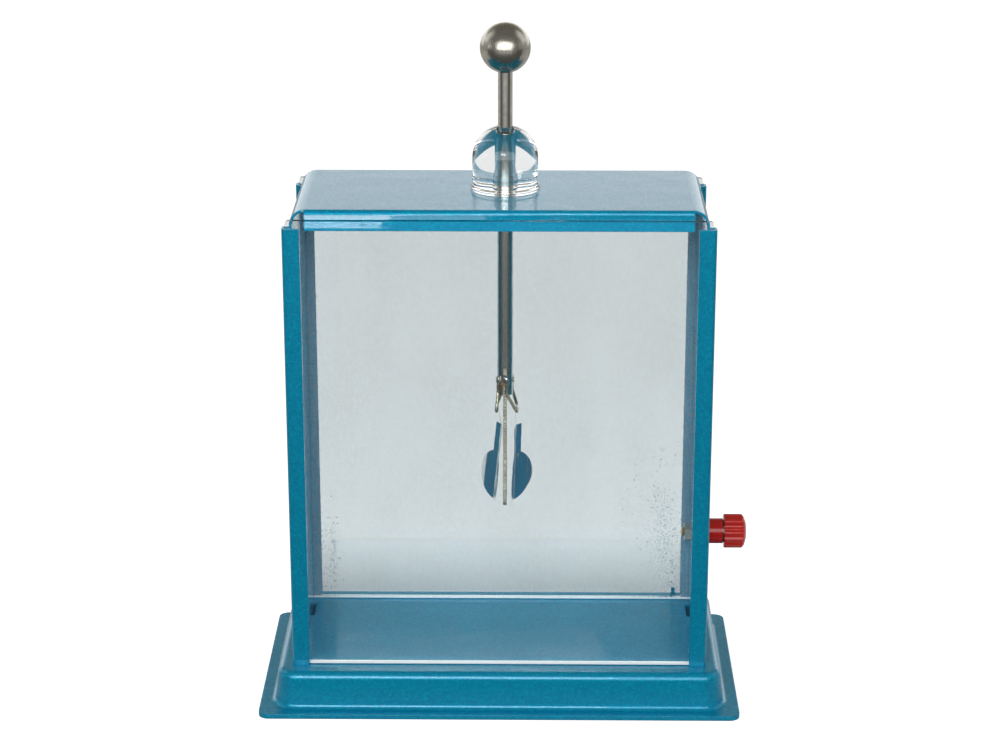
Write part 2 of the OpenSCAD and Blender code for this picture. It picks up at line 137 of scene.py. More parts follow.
enamelLook = {
    "deep": (0.0, 0.216, 0.425),
    "light": (0.0, 0.458, 0.655),
    "flakeSize": 0.00055,
    "flakeDepth": 0.00006,
    "sparkleRarity": 4.0,  # the higher, the fewer flakes are bright
    "sparkle": 0.4,
    "patchSize": 0.0012,
    "patchSpan": (0.25, 0.75),  # of the patches' noise, from deep to light
    "patchTone": (0.12, 0.52),
    "peelSize": 0.0016,
    "peelDepth": 0.000014,
    "waveSize": 0.011,
    "waveDepth": 0.00009,
    "edgeRadius": 0.0006,
    "metallic": 0.4,
    "specular": 0.05,
    "roughness": (0.32, 0.54),
    "coatRoughness": 0.04,
    "coatIor": 1.45,
}
lipLook = {
    "lean": 0.37,  # slope by which the skin on the front lip leans back, towards its left end
    "flakeShare": 0.25,  # the part of the lean that the flakes below the skin share
    "leanLow": (-0.050, -0.036),  # along X, where the lean of the whole lip fades
    "leanHigh": (-0.055, 0.035),  # the same, above the pane
    "paneBlur": 0.0001,
    "facing": (0.75, 0.95),  # cosine between a face and the front, where it counts and in full
    "height": 0.0077,
    "rim": (0.0006, 0.0012),  # heights above the lip's lower edge, where the lean begins
    "ends": (0.0728, 0.0734),  # from the middle, where the lean stops
    "wobbleSize": 0.012,
    "wobble": 0.004,  # how far the fade wanders along X
    "wobbleStretch": (1, 1, 0.2),
    "speckle": 0.006,  # the same, in spots as large as the peel
    "noiseSpan": (0.3, 0.7),
}


def lipLean(tree):
    # the enamel on the front lip lies unevenly, and leans back at the left
    look = lipLook
    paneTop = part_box("front_glass")[1].z
    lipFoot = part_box("case_shell")[1].z - look["height"]
    spot = spotOf(tree)
    forward = put(tree, "VectorMath", {0: roundedEdges(tree, enamelLook["edgeRadius"]),
                                       1: (0, -1, 0)}, operation="DOT_PRODUCT")
    region = ramp(tree, forward.outputs["Value"], *look["facing"])
    rim = ramp(tree, spot["Z"], *(lipFoot + height for height in look["rim"]))
    region = maths(tree, "MULTIPLY", region, rim)
    across = maths(tree, "ABSOLUTE", spot["X"])
    region = maths(tree, "MULTIPLY", region, ramp(tree, across, *look["ends"], 1.0, 0.0))
    wobble = noiseAt(tree, place(tree, look["wobbleStretch"]), look["wobbleSize"], 1.0)
    wobble = ramp(tree, wobble, *look["noiseSpan"], -look["wobble"], look["wobble"])
    speckle = noiseAt(tree, place(tree), enamelLook["peelSize"], 2.0)
    speckle = ramp(tree, speckle, *look["noiseSpan"], -look["speckle"], look["speckle"])
    along = maths(tree, "ADD", spot["X"], maths(tree, "ADD", wobble, speckle))
    low = ramp(tree, along, *look["leanLow"], look["lean"], 0.0, smooth=True)
    abovePane = ramp(tree, spot["Z"], paneTop - look["paneBlur"], paneTop + look["paneBlur"])
    high = ramp(tree, along, *look["leanHigh"], look["lean"], 0.0)
    high = maths(tree, "MULTIPLY", high, abovePane)
    return maths(tree, "MULTIPLY", region, maths(tree, "MAXIMUM", low, high))


def leanBack(tree, normal, slope):
    upward = put(tree, "CombineXYZ", {"Z": slope})
    leant = put(tree, "VectorMath", {0: normal, 1: upward.outputs[0]}, operation="ADD")
    return put(tree, "VectorMath", {0: leant.outputs[0]}, operation="NORMALIZE").outputs[0]


def tealEnamel():
    # hammered metallic enamel: flakes and patches under a thin glossy skin
    look = enamelLook
    material, tree, shader = startMaterial("teal_enamel")
    where = place(tree)
    flakes = put(tree, "TexVoronoi", {"Vector": where, "Scale": 1 / look["flakeSize"]})
    flake = put(tree, "SeparateColor", {"Color": flakes.outputs["Color"]}).outputs
    sparkle = maths(tree, "POWER", flake[0], look["sparkleRarity"])
    sparkle = maths(tree, "MULTIPLY", sparkle, look["sparkle"])
    patches = noiseAt(tree, where, look["patchSize"], 3.0, 0.6)
    patches = ramp(tree, patches, *look["patchSpan"], *look["patchTone"])
    tone = maths(tree, "ADD", patches, sparkle)
    edge = roundedEdges(tree, look["edgeRadius"])
    wave = noiseAt(tree, where, look["waveSize"], 1.0)
    peel = noiseAt(tree, where, look["peelSize"], 1.0)
    lean = lipLean(tree)
    skins = []
    for share in (lipLook["flakeShare"], 1.0):
        leant = leanBack(tree, edge, maths(tree, "MULTIPLY", lean, share))
        waved = bumpFrom(tree, wave, look["waveDepth"], leant)
        skins.append(bumpFrom(tree, peel, look["peelDepth"], waved))
    setInputs(tree, shader, {
        "Base Color": mixColours(tree, tone, look["deep"], look["light"]),
        "Roughness": ramp(tree, flake[2], 0, 1, *look["roughness"]),
        "Normal": bumpFrom(tree, flake[1], look["flakeDepth"], skins[0]),
        "Coat Normal": skins[1],
        "Metallic": look["metallic"],
        "Specular IOR Level": look["specular"],
        "Coat Weight": 1.0,
        "Coat Roughness": look["coatRoughness"],
        "Coat IOR": look["coatIor"],
    })
    return material


paneLook = {
    "tint": (0.88, 0.925, 0.940),
    "grimeTint": 0.95,  # share of the tint that is left where grime lies
    "grimeSpan": (0.15, 0.4),
    "smearSize": 0.03,
    "smearStretch": (1, 1, 0.6),
    "dustSize": 0.0012,
    "lampTint": (0.955, 0.97, 0.975),
    "ior": 1.5,
    "groundFoot": 0.0009,  # height of the ground foot of each pane
    "footBlur": 0.0001,
    # pale colour of the foot: frosting, and a painted highlight for the light its edge catches
    "footFrostAndHighlight": (0.93, 0.95, 0.93),
}
mistLook = {
    "colour": (0.02, 0.22, 0.34),
    "edge": (0.0728, 0.0746),  # from the middle, where the spray's mist starts and is full
    "edgeDepth": 0.46,
    "top": (0.185, 0.195),  # heights between which the mist of the edges fades
    "grain": 0.00055,
    "cloud": (0.0660, 0.046, 0.0075, 0.028),  # middle x and z, and reach in x and z
    "cloudFade": 1.4,  # square of the number of reaches at which the cloud ends
    "cloudDepth": 0.2,
    "span": (0.74, 1.05),  # density of the grain, where it starts to show and is full
}


def enamelMist(tree, spot):
    # spray that settled along the side edges and in one cloud at the right
    look = mistLook
    edge = ramp(tree, maths(tree, "ABSOLUTE", spot["X"]), *look["edge"], 0.0, look["edgeDepth"])
    edge = maths(tree, "MULTIPLY", edge, ramp(tree, spot["Z"], *look["top"], 1.0, 0.0))
    middleX, middleZ, reachX, reachZ = look["cloud"]
    across = maths(tree, "DIVIDE", maths(tree, "SUBTRACT", spot["X"], middleX), reachX)
    upward = maths(tree, "DIVIDE", maths(tree, "SUBTRACT", spot["Z"], middleZ), reachZ)
    far = maths(tree, "ADD", maths(tree, "MULTIPLY", across, across),
                maths(tree, "MULTIPLY", upward, upward))
    cloud = ramp(tree, far, 0.0, look["cloudFade"], look["cloudDepth"], 0.0)
    grain = noiseAt(tree, place(tree), look["grain"], 2.0, 0.7)
    density = maths(tree, "ADD", grain, maths(tree, "MAXIMUM", edge, cloud))
    return ramp(tree, density, *look["span"])


def paneGlass(name, misted):
    # clear float glass with a ground foot, whose pale opaque colour is partly the ground edge's
    # frosting and partly a painted highlight of the light along that edge; the misted pane caught
    # some enamel spray
    look = paneLook
    material, tree, shader = startMaterial(name)
    where = place(tree, look["smearStretch"])
    smear = noiseAt(tree, where, look["smearSize"], 4.0)
    dust = noiseAt(tree, where, look["dustSize"], 2.0)
    grime = ramp(tree, maths(tree, "MULTIPLY", smear, dust), *look["grimeSpan"])
    darker = tuple(look["grimeTint"] * c for c in look["tint"])
    colour = mixColours(tree, grime, look["tint"], darker)
    spot = spotOf(tree)
    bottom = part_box("front_glass")[0].z + look["groundFoot"]
    foot = ramp(tree, spot["Z"], bottom - look["footBlur"], bottom, 1.0, 0.0)
    solid = foot
    if misted:
        mist = enamelMist(tree, spot)
        colour = mixColours(tree, mist, colour, mistLook["colour"])
        solid = maths(tree, "MAXIMUM", mist, foot)
    # the foot turns pale and opaque: frosting plus a painted highlight
    colour = mixColours(tree, foot, colour, look["footFrostAndHighlight"])
    clear = maths(tree, "SUBTRACT", 1.0, solid)
    setInputs(tree, shader, {"Transmission Weight": 1.0, "Roughness": 0.0, "IOR": look["ior"]})
    setInputs(tree, shader, {"Transmission Weight": clear, "Base Color": colour})
    letLampsThrough(tree, shader, look["lampTint"])
    return material


acrylicLook = {"tint": (0.97, 0.985, 0.99), "ior": 1.49, "swirlSize": 0.006,
               "swirlDepth": 0.000004}


def clearAcrylic():
    look = acrylicLook
    material, tree, shader = startMaterial("clear_acrylic")
    swirl = noiseAt(tree, place(tree), look["swirlSize"], 2.0)
    setInputs(tree, shader, {
        "Base Color": (*look["tint"], 1),
        "Transmission Weight": 1.0,
        "Roughness": 0.0,
        "IOR": look["ior"],
        "Normal": bumpFrom(tree, swirl, look["swirlDepth"]),
    })
    letLampsThrough(tree, shader, look["tint"])
    return material


metalLook = {
    "grain": (1, 1, 1),  # stretch of the grain lines
    "grainSize": 0.0004,
    "grainDepth": 0.000004,
    "grainRough": 0.08,
    "stainSize": 0.003,
    "stainSpan": (0.35, 0.75),  # of the stains' noise, from clean to dark
    "roughSpan": (0.3, 0.8),  # the same, from the plain roughness to the full one
    "roughGain": 1.8,  # how much rougher a stain is
    "metallic": 1.0,
}
metals = {
    # what each metal has of its own, beside metalLook
    "nickel": {"name": "nickel_plate", "clean": (0.60, 0.58, 0.51), "dark": (0.44, 0.42, 0.36),
               "roughness": 0.17, "grain": (1, 1, 0.12), "grainSize": 0.0007,
               "grainDepth": 0.00005},
    "rod": {"name": "drawn_rod", "clean": (0.76, 0.75, 0.69), "dark": (0.58, 0.56, 0.49),
            "roughness": 0.14, "grain": (1, 1, 0.03), "grainSize": 0.0007,
            "grainDepth": 0.00003},
    "tinned": {"name": "tinned_wire", "clean": (0.66, 0.60, 0.46), "dark": (0.36, 0.30, 0.20),
               "roughness": 0.2, "grainDepth": 0.00001, "stainSize": 0.0012},
    # the clamp washer's near-black colour is painted shade, standing for the shadow in the gap
    # between the red collar and head
    "shadeDark": {"name": "shade_dark_steel", "clean": (0.20, 0.17, 0.15), "dark": (0.12, 0.10, 0.09),
             "roughness": 0.3},
    "solder": {"name": "soft_solder", "clean": (0.72, 0.71, 0.67), "dark": (0.50, 0.48, 0.43),
               "roughness": 0.12, "grainSize": 0.0009, "grainDepth": 0.00003},
    "vane": {"name": "vane_metal", "clean": (0.56, 0.53, 0.45), "dark": (0.43, 0.39, 0.31),
             "roughness": 0.36},
    "foil": {"name": "bright_foil", "clean": (0.82, 0.84, 0.85), "dark": (0.76, 0.79, 0.80),
             "roughness": 0.06, "grainSize": 0.002, "grainDepth": 0.00002, "stainSize": 0.006,
             "metallic": 0.95},
    "brass": {"name": "turned_brass", "clean": (0.72, 0.50, 0.20), "dark": (0.55, 0.36, 0.13),
              "roughness": 0.2},
    "steel": {"name": "zinc_steel", "clean": (0.78, 0.77, 0.72), "dark": (0.60, 0.60, 0.56),
              "roughness": 0.32},
}


def bareMetal(metal):
    look = {**metalLook, **metal}
    material, tree, shader = startMaterial(look["name"])
    lines = noiseAt(tree, place(tree, look["grain"]), look["grainSize"], 3.0)
    stains = noiseAt(tree, place(tree), look["stainSize"], 4.0, 0.6)
    stained = ramp(tree, stains, *look["stainSpan"])
    rough = ramp(tree, stains, *look["roughSpan"], look["roughness"],
                 look["roughness"] * look["roughGain"])
    rough = maths(tree, "ADD", rough, maths(tree, "MULTIPLY", lines, look["grainRough"]))
    setInputs(tree, shader, {
        "Base Color": mixColours(tree, stained, look["clean"], look["dark"]),
        "Roughness": rough,
        "Metallic": look["metallic"],
        "Normal": bumpFrom(tree, lines, look["grainDepth"]),
    })
    return material


redLook = {
    "base": (0.58, 0.012, 0.010),
    "lighter": (0.66, 0.019, 0.014),
    "cloudSize": 0.003,
    "cloudSpan": (0.3, 0.7),
    "roughness": (0.08, 0.16),
    "skinSize": 0.0005,
    "skinDepth": 0.000004,
    "edgeRadius": 0.00025,
    "ior": 1.5,
}


def redPlastic():
    look = redLook
    material, tree, shader = startMaterial("red_plastic")
    where = place(tree)
    cloud = noiseAt(tree, where, look["cloudSize"], 2.0)
    skin = noiseAt(tree, where, look["skinSize"], 2.0)
    edge = roundedEdges(tree, look["edgeRadius"])
    setInputs(tree, shader, {
        "Base Color": mixColours(tree, cloud, look["base"], look["lighter"]),
        "Roughness": ramp(tree, cloud, *look["cloudSpan"], *look["roughness"]),
        "IOR": look["ior"],
        "Normal": bumpFrom(tree, skin, look["skinDepth"], edge),
    })
    return material


fluxLook = {"clear": (0.62, 0.18, 0.03), "brown": (0.35, 0.10, 0.03), "cloudSize": 0.0006,
            "roughness": 0.18, "ior": 1.54}


def amberFlux():
    # the bead of dried flux beside the solder
    look = fluxLook
    material, tree, shader = startMaterial("amber_flux")
    cloud = noiseAt(tree, place(tree), look["cloudSize"], 2.0)
    setInputs(tree, shader, {
        "Base Color": mixColours(tree, cloud, look["clear"], look["brown"]),
        "Roughness": look["roughness"],
        "IOR": look["ior"],
    })
    return material


finishes = {
    "enamel": tealEnamel(),
    "glass": paneGlass("pane_glass", False),
    "misted": paneGlass("misted_pane_glass", True),
    "acrylic": clearAcrylic(),
    "red": redPlastic(),
    "flux": amberFlux(),
}
for kind, metal in metals.items():
    finishes[kind] = bareMetal(metal)

wearers = {
    "enamel": ["base", "case_shell"],
    "glass": ["front_glass"],
    "misted": ["rear_glass"],
    "acrylic": ["insulator"],
    "nickel": ["ball"],
    "rod": ["electrode_rod"],
    "tinned": ["left_hanger", "right_hanger"],
    "vane": ["fixed_vane", "vane_pin"],
    "foil": ["left_leaf", "right_leaf"],
    "brass": ["insulator_nut", "terminal_stud", "head_insert"],
    "steel": ["insulator_washer", "terminal_washer", "terminal_nut"],
    # painted shade: the washer is coloured dark for the shadowed gap
    "shadeDark": ["clamp_washer"],
    "red": ["terminal_collar", "terminal_head"],
}
for finish, names in wearers.items():
    for name in names:
        for slot in nodes[name].material_slots:
            slot.material = finishes[finish]
print("finishes:", len(finishes), "materials")


# Mesh tools

def middleOf(node):
    low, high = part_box(node)
    return (low + high) / 2


def addPiece(name, made, finish, body, replaced=None, smooth=True):
    # closes the mesh and puts the piece on its body
    mesh = bpy.data.meshes.new(name)
    bmesh.ops.recalc_face_normals(made, faces=made.faces)
    made.to_mesh(mesh)
    made.free()
    mesh.materials.append(finishes[finish])
    if smooth:
        mesh.shade_smooth()
    piece = bpy.data.objects.new(name, mesh)
    bpy.context.scene.collection.objects.link(piece)
    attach(piece, body)
    if replaced:
        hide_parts(replaced)
    return piece


def skinRows(made, rows, wrapRow=False, wrapRows=False, caps=False):
    # faces between neighbouring rows of points, each row open or a ring
    verts = [[made.verts.new(p) for p in row] for row in rows]
    count = len(verts[0])
    steps = count if wrapRow else count - 1
    for r in range(len(verts) if wrapRows else len(verts) - 1):
        here, there = verts[r], verts[(r + 1) % len(verts)]
        for i in range(steps):
            j = (i + 1) % count
            made.faces.new((here[i], here[j], there[j], there[i]))
    if caps:
        made.faces.new(verts[0])
        made.faces.new(verts[-1])


def lathe(profile, axis, segments):
    # turns a closed outline of (radius, height) points round a vertical axis
    made = bmesh.new()
    rings = []
    for step in range(segments):
        turn = 2 * math.pi * step / segments
        rings.append([(axis.x + r * math.cos(turn), axis.y + r * math.sin(turn), z)
                      for r, z in profile])
    skinRows(made, rings, wrapRow=True, wrapRows=True)
    return made


def arcPoints(centre, radius, fromDegrees, toDegrees, steps):
    return [(centre[0] + radius * math.cos(math.radians(a)),
             centre[1] + radius * math.sin(math.radians(a)))
            for a in (fromDegrees + (toDegrees - fromDegrees) * i / steps
                      for i in range(steps + 1))]


def roundedRoute(corners, radius, steps=7, share=0.45):
    # straight runs joined by arcs of about the given radius, each within its share of a run
    route = [corners[0]]
    for before, corner, after in zip(corners, corners[1:], corners[2:]):
        arrive, leave = (corner - before).normalized(), (after - corner).normalized()
        angle = arrive.angle(leave)
        reach = min(radius * math.tan(angle / 2), share * (corner - before).length,
                    share * (after - corner).length)
        first, last = corner - arrive * reach, corner + leave * reach
        for i in range(steps + 1):
            t = i / steps
            route.append(first * (1 - t) ** 2 + corner * 2 * t * (1 - t) + last * t ** 2)
    return route + [corners[-1]]


def tubeRings(route, radiusAt, sides=20):
    # rings of points round a route, kept from twisting
    rings, along = [], 0.0
    side = None
    for i, point in enumerate(route):
        ahead = route[min(i + 1, len(route) - 1)] - route[max(i - 1, 0)]
        ahead.normalize()
        if side is None:
            side = ahead.orthogonal().normalized()
        side = (side - ahead * side.dot(ahead)).normalized()
        other = ahead.cross(side)
        if i:
            along += (point - route[i - 1]).length
        ring = []
        for k in range(sides):
            turn = 2 * math.pi * k / sides
            reach = radiusAt(along, turn)
            ring.append(point + (side * math.cos(turn) + other * math.sin(turn)) * reach)
        rings.append(ring)
    return rings


def evenRoute(route, step):
    # the same route with its points about a step apart
    even = [route[0]]
    for a, b in zip(route, route[1:]):
        count = max(1, round((b - a).length / step))
        even += [a.lerp(b, (i + 1) / count) for i in range(count)]
    return even


# Clear stopper, turned finely enough to refract cleanly

stopperShape = {
    "domeRadius": 0.0125,
    "height": 0.0245,
    "footHeight": 0.0018,
    "footRound": 0.0008,
    "footEdge": 0.0002,
    "spigotRadius": 0.006,
    "spigotEdge": 0.0004,
    "seat": 0.00003,  # film of air between the foot and the top sheet
    "thinRod": 0.00275,
    "stepHeight": 0.0059,  # from the top sheet up to the rod's shoulder
    "boreGap": 0.00008,  # film of air round the rod
    "grip": 0.004,  # top stretch of the bore, which holds the rod tight
    "gripSink": 0.00007,  # how far its face lies inside the rod's
    "fillet": 0.0004,
    "segments": 200,
    "sharpAngle": 28,
}


def clearStopper():
    shape = stopperShape
    low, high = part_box("insulator")
    footRadius = (high.x - low.x) / 2
    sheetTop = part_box("case_shell")[1].z
    rodLow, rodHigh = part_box("electrode_rod")
    thickBore = (rodHigh.x - rodLow.x) / 2 + shape["boreGap"]
    thinBore = shape["thinRod"] + shape["boreGap"]
    gripRadius = shape["thinRod"] - shape["gripSink"]
    stepHeight = sheetTop + shape["stepHeight"]
    foot = sheetTop + shape["seat"]
    footTop = sheetTop + shape["footHeight"]
    dome, domeCentre = shape["domeRadius"], sheetTop + shape["height"] - shape["domeRadius"]
    mouthAngle = math.acos(gripRadius / dome)
    gripFoot = domeCentre + dome * math.sin(mouthAngle) - shape["grip"]
    edge, footRound, fillet = shape["footEdge"], shape["footRound"], shape["fillet"]
    body = [(thickBore, foot)]
    body += arcPoints((footRadius - edge, foot + edge), edge, -90, 0, 4)
    body += arcPoints((footRadius - footRound, footTop - footRound), footRound, 0, 90, 8)
    body += arcPoints((dome + fillet, footTop + fillet), fillet, 270, 180, 6)
    body += arcPoints((0, domeCentre), dome, 0, math.degrees(mouthAngle), 60)
    body += [(gripRadius, gripFoot), (thinBore, gripFoot), (thinBore, stepHeight),
             (thickBore, stepHeight)]
    outer, bevel = shape["spigotRadius"], shape["spigotEdge"]
    spigot = [(thickBore, low.z), (outer - bevel, low.z), (outer, low.z + bevel),
              (outer, sheetTop), (thickBore, sheetTop)]
    for name, outline in (("stopper_body", body), ("stopper_spigot", spigot)):
        made = lathe(outline, middleOf("insulator"), shape["segments"])
        piece = addPiece(name, made, "acrylic", "case", "insulator")
        piece.data.set_sharp_from_angle(angle=math.radians(shape["sharpAngle"]))


clearStopper()
print("stopper turned")


# Foil leaves, thin and creased, each with its tongue rolled round the wire

foilShape = {
    "thickness": 0.00007,
    "discRadius": 0.010,
    "discDrop": 0.0214,  # from the top of the stem to the middle of the disc
    "discEnd": 178,  # degrees round the disc, from its top to the last row
    "stemHalf": 0.0035,
    "foldLength": 0.0006,  # stretch beside the fold over which the sheet turns
    "curlLength": 0.0006,
    "curlRise": 0.002,  # stretch below the stem over which the curl of the edge begins
    "crinkle": 0.00009,
    "crinkleSize": 0.0035,
    "fineShare": 0.45,
    "fineSize": 0.0013,
    "creaseDrop": 0.0036,  # below the stem, where the hard crease meets the fold
    "creaseSlope": 0.62,
    "creaseWidth": 0.00035,
    "stemRows": 22,
    "discRows": 45,
    "columns": 22,  # on each side of the fold
    "crowding": 1.25,  # above 1, the columns stand closer near the fold
}
tongueShape = {
    "half": 0.0012,
    "length": 0.0069,
    "overlap": 0.0004,  # how far it reaches down over the stem
    "spread": 0.5,  # how much wider it is over its lowest rows
    "spreadRows": 9,
    "rollRadius": 0.00074,
    "rollTurn": 285,
    "flutter": 0.00005,
    "flutterStep": 0.4,
    "rows": 12,
    "rollRows": 40,
    "columns": 4,  # on each side of the middle
}
leaves = {
    # side is +1 to the right, -1 to the left; in degrees: lean of the tongue, tilt of the sheet,
    # flare of its rear half, turn of its front half at the stem's ends, curl of its rear edge
    "left": {"side": -1, "lean": 10, "tilt": 5.8, "flare": 39, "front": (7, 4),
             "curlFrom": 0.0069, "curl": -11, "ridge": 0.0, "seed": 3.0},
    "right": {"side": 1, "lean": -4, "tilt": -1.8, "flare": 43.5, "front": (11, 6),
              "curlFrom": 0.0074, "curl": 16, "ridge": 0.00016, "seed": 11.0},
}


def smoothStep(x):
    x = min(1.0, max(0.0, x))
    return x * x * (3 - 2 * x)


def swingBar(side):
    # middle of the stirrup's bar, which the leaf swings on
    joint = next(j for j in frame["joints"] if j["name"] == side + "_leaf_swing")
    return Vector(joint["pos_m"])


def foilBody(leaf):
    # rows from the top of the stem down to the foot of the disc, in the leaf's own plane
    shape = foilShape
    radius, drop, columns = shape["discRadius"], shape["discDrop"], shape["columns"]
    shoulder = drop - math.sqrt(radius ** 2 - shape["stemHalf"] ** 2)
    levels = [(shoulder * i / shape["stemRows"], shape["stemHalf"])
              for i in range(shape["stemRows"])]
    start = math.acos((drop - shoulder) / radius)
    for i in range(shape["discRows"] + 1):
        turn = start + (math.radians(shape["discEnd"]) - start) * i / shape["discRows"]
        levels.append((drop - radius * math.cos(turn), radius * math.sin(turn)))
    rows = []
    for down, half in levels:
        low = smoothStep(down / shoulder)
        curlNow = smoothStep((down - shoulder) / shape["curlRise"])
        frontTurn = math.radians(leaf["front"][0] * (1 - low) + leaf["front"][1] * low)
        reaches = [half * (k / columns) ** shape["crowding"] for k in range(columns + 1)]
        row = {0: (0.0, 0.0)}
        for way in (1, -1):
            x = y = 0.0
            for k in range(1, columns + 1):
                step = reaches[k] - reaches[k - 1]
                middle = reaches[k - 1] + step / 2
                bend = smoothStep(middle / shape["foldLength"])
                if way > 0:
                    turn = math.radians(leaf["flare"]) * bend
                    curled = smoothStep((middle - leaf["curlFrom"]) / shape["curlLength"])
                    turn += math.radians(leaf["curl"]) * curled * curlNow
                else:
                    turn = frontTurn * bend
                x += way * math.sin(turn) * step
                y += way * math.cos(turn) * step
                row[way * k] = (x, y)
        points = []
        for k in range(-columns, columns + 1):
            x, y = row[k]
            along = reaches[k] if k > 0 else -reaches[-k]
            spot = Vector((along, down, leaf["seed"] * 0.01))
            bulge = shape["crinkle"] * noise.noise(spot / shape["crinkleSize"])
            bulge += shape["fineShare"] * shape["crinkle"] * noise.noise(spot / shape["fineSize"])
            if along > 0:
                # a hard crease runs from the crook of the stem down to the fold
                crease = down - shoulder - shape["creaseDrop"] + along * shape["creaseSlope"]
                crease /= shape["creaseWidth"]
                bulge += leaf["ridge"] * math.exp(-crease * crease)
            points.append(Vector((x + bulge, y, -down)))
        rows.append(points)
    return rows


def foilTongue(leaf):
    # rows from the root of the tongue up, and round the bar, which is the middle here
    shape = tongueShape
    radius, length, columns = shape["rollRadius"], shape["length"], shape["columns"]
    lean = math.radians(leaf["lean"])
    route = []
    for i in range(shape["rows"] + 1):
        toGo = 1 - i / shape["rows"]
        route.append(Vector((-radius, 0, -length * toGo - shape["overlap"] * toGo)))
    for i in range(1, shape["rollRows"] + 1):
        turn = math.radians(180 - shape["rollTurn"] * i / shape["rollRows"])
        route.append(Vector((radius * math.cos(turn), 0, radius * math.sin(turn))))
    rows = []
    for i, p in enumerate(route):
        leant = Vector((p.x * math.cos(lean) + p.z * math.sin(lean), 0,
                        -p.x * math.sin(lean) + p.z * math.cos(lean)))
        spot = Vector((i * shape["flutterStep"], leaf["seed"], 0))
        flutter = shape["flutter"] * noise.noise(spot)
        half = shape["half"] * (1 + shape["spread"] * smoothStep(1 - i / shape["spreadRows"]))
        rows.append([leant + Vector((flutter, half * k / columns, 0))
                     for k in range(-columns, columns + 1)])
    return rows


def foilLeaf(side):
    leaf, bar = leaves[side], swingBar(side)
    lean, tilt = math.radians(leaf["lean"]), math.radians(leaf["tilt"])
    radius, length = tongueShape["rollRadius"], tongueShape["length"]
    root = Vector((-radius * math.cos(lean) - length * math.sin(lean), 0,
                   radius * math.sin(lean) - length * math.cos(lean)))

    def settle(point):
        return Vector((bar.x + leaf["side"] * point.x, bar.y + point.y, bar.z + point.z))

    def tilted(p):
        return root + Vector((p.x * math.cos(tilt) - p.z * math.sin(tilt), p.y,
                              p.x * math.sin(tilt) + p.z * math.cos(tilt)))

    made = bmesh.new()
    skinRows(made, [[settle(tilted(p)) for p in row] for row in foilBody(leaf)])
    skinRows(made, [[settle(p) for p in row] for row in foilTongue(leaf)])
    piece = addPiece(side + "_foil_sheet", made, "foil", side + "_foil", side + "_leaf")
    gauge = piece.modifiers.new("gauge", "SOLIDIFY")
    gauge.thickness = foilShape["thickness"]
    gauge.offset = 0


for side in leaves:
    foilLeaf(side)
print("foil leaves creased")


# Wire stirrups, soldered to the rod

wireShape = {
    "radius": 0.0006,
    "bendRadius": 0.0009,
    "twist": 0.05,  # share of the radius that the drawn wire's faint spiral stands out
    "twistPitch": 0.0022,
    "rough": 0.07,
    "roughSize": 0.0016,
    "swell": 1.04,  # how much wider than the wire its CAD beads are
    "legTurn": 44,
    "legTop": 0.0070,  # above the rod's lower end
    "legBottom": 0.0010,
    "legReach": 0.00375,
    "farLegX": 0.0006,
    "step": 0.00025,
}


def wireStirrup(side):
    shape, bar = wireShape, swingBar(side)
    way = -1 if side == "left" else 1
    low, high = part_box(side + "_hanger")
    axis, rodFoot = middleOf("electrode_rod"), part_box("electrode_rod")[0].z
    half = (high.y - low.y) / 2 - shape["radius"] * shape["swell"]
    turn = math.radians(shape["legTurn"])
    reach = shape["legReach"]
    near = Vector((axis.x + way * reach * math.cos(turn), axis.y + way * reach * math.sin(turn), 0))
    far = Vector((axis.x + way * shape["farLegX"], axis.y - way * reach, 0))
    up = Vector((0, 0, rodFoot))
    top, bottom = Vector((0, 0, shape["legTop"])), Vector((0, 0, shape["legBottom"]))
    barNear = Vector((bar.x, bar.y + way * half, bar.z))
    barFar = Vector((bar.x, bar.y - way * half, bar.z))
    corners = [near + up + top, near + up + bottom, barNear, barFar, far + up + bottom,
               far + up + top]
    route = evenRoute(roundedRoute(corners, shape["bendRadius"]), shape["step"])

    def radiusAt(along, angle):
        spiral = math.cos(2 * angle + 2 * math.pi * along / shape["twistPitch"])
        spot = Vector((along / shape["roughSize"], math.cos(angle), math.sin(angle) + way))
        rough = shape["rough"] * noise.noise(spot)
        return shape["radius"] * (1 + shape["twist"] * spiral + rough)

    made = bmesh.new()
    skinRows(made, tubeRings(route, radiusAt), wrapRow=True, caps=True)
    addPiece(side + "_wire", made, "tinned", "case", side + "_hanger")
    return {"near": near, "far": far}


solderShape = {
    "above": 0.35,  # share of the length above the point that the bead is placed by
    "blunt": 0.02,  # share of the length at each end that no longer thins
    "rise": 0.72,  # below 1, the widest part lies above the middle
    "fullness": 0.75,  # the lower, the fuller
    "wobble": 0.22,
    "lumpStretch": 2.2,
    "lumpScale": 1.7,
    "sides": 22,
    "rings": 18,
}
legBeads = {
    # the beads sit in the crook between a leg and the rod
    "height": 0.0062,
    "inward": 0.13,  # share of the way from the leg to the rod
    "left": {"near": {"length": 0.0046, "radius": 0.00105, "seed": 8.5954},
             "far": {"length": 0.0050, "radius": 0.0010, "seed": 8.995}},
    "right": {"near": {"length": 0.0046, "radius": 0.00105, "seed": 9.5954},
              "far": {"length": 0.0050, "radius": 0.0010, "seed": 9.995}},
}
slotBeads = {
    # beads on the front of the rod, placed from the middle of its lower end
    "slot_solder": {"place": (-0.0002, -0.0027, 0.0068), "length": 0.0036, "radius": 0.00068,
                    "seed": 5.0, "squeeze": 0.85, "wobble": 0.05},
    "flux_bead": {"place": (-0.0011, -0.0029, 0.0046), "length": 0.0013, "radius": 0.00042,
                  "seed": 8.0, "finish": "flux"},
}


